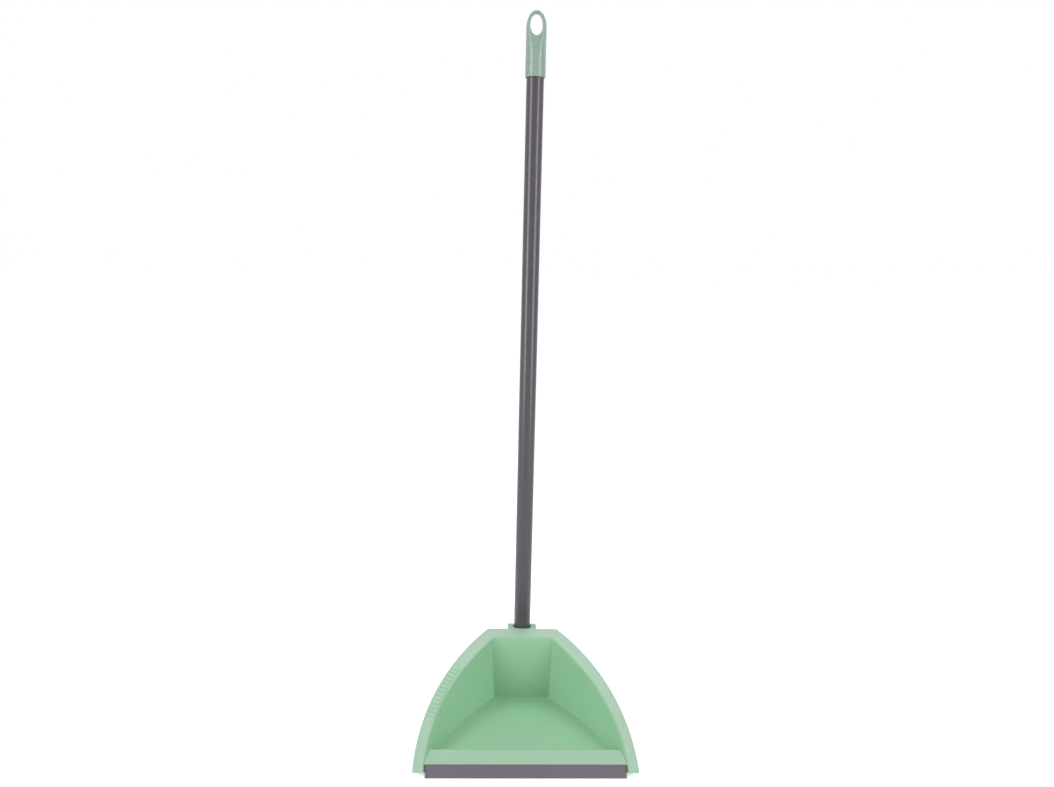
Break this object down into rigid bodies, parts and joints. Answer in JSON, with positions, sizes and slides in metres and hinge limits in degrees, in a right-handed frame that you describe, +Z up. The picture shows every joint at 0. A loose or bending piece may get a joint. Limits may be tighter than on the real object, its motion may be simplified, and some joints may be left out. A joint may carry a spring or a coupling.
{
  "type": "long-handled dustpan",
  "caption": "Moulded dustpan with a flanged rim, bristle comb and soft floor lip, on a coated tube handle that pushes into a socket column and ends in a hanging loop.",
  "frame": {"origin": "middle of the footprint, on the floor that the dustpan stands on", "axes": "+Z up along the handle, the lip towards -Y, the handle towards +Y, +X to the right seen from the lip"},
  "size_m": [0.25, 0.223, 0.851],
  "materials": {
    "pan_plastic": "fine moulded texture, pale green",
    "lip_rubber": "smooth matt, purple-grey",
    "tube_steel": "plain drawn tube",
    "tube_coat": "satin, purple-grey",
    "plug_plastic": "plain moulded",
    "cap_plastic": "smooth satin, pale green"
  },
  "bodies": {
    "pan": {"pan_body": "pan_plastic", "lip_strip": "lip_rubber"},
    "handle": {"handle_tube": "tube_steel", "tube_sleeve": "tube_coat", "tube_plug": "plug_plastic", "hanger_cap": "cap_plastic"}
  },
  "joints": [
    {"name": "handle_pull", "type": "slide", "parent": "pan", "child": "handle", "axis": [0, 0, 1], "range_m": [0, 0.065]}
  ]
}
